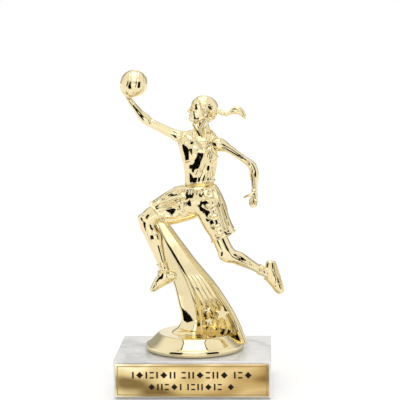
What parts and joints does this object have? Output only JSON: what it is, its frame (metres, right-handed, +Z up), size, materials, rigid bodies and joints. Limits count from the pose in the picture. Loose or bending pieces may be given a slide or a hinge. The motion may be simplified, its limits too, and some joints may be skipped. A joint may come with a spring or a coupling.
{
  "type": "basketball figure trophy",
  "caption": "Gold running ball-player figure on a swept comet riser with a round foot, bolted to a rectangular white marble block with a front nameplate.",
  "frame": {"origin": "centre of the underside of the felt, under the fixing bolt's axis", "axes": "+Z up through the fixing bolt; the nameplate faces -Y; +X is to the right seen from the front, and the figure runs towards -X"},
  "size_m": [0.0828, 0.0588, 0.1578],
  "materials": {
    "gold_metallised": "vacuum-metallised pale gold, mirror gloss",
    "white_marble": "polished, faint grey veins",
    "plate_gold": "polished lacquered brass, brushed across",
    "zinc_steel": "bright zinc plated",
    "tape": "thin double-sided foam tape",
    "felt": "grey self-adhesive felt"
  },
  "bodies": {
    "marble_stand": {"marble_base": "white_marble", "nameplate": "plate_gold", "nameplate_tape": "tape", "felt_sheet": "felt"},
    "figure": {"figure_pedestal": "gold_metallised", "comet_riser": "gold_metallised", "shorts": "gold_metallised", "jersey_torso": "gold_metallised", "head": "gold_metallised", "ponytail": "gold_metallised", "right_arm": "gold_metallised", "left_arm": "gold_metallised", "basketball": "gold_metallised", "right_leg": "gold_metallised", "left_leg": "gold_metallised", "right_shoe": "gold_metallised", "left_shoe": "gold_metallised", "hex_nut": "zinc_steel", "hex_bolt": "zinc_steel", "lock_washer": "zinc_steel", "flat_washer": "zinc_steel"}
  },
  "joints": [
    {"name": "figure_turn", "type": "hinge", "parent": "marble_stand", "child": "figure", "pos_m": [0, 0, 0.0193], "axis": [0, 0, 1], "continuous": true}
  ]
}
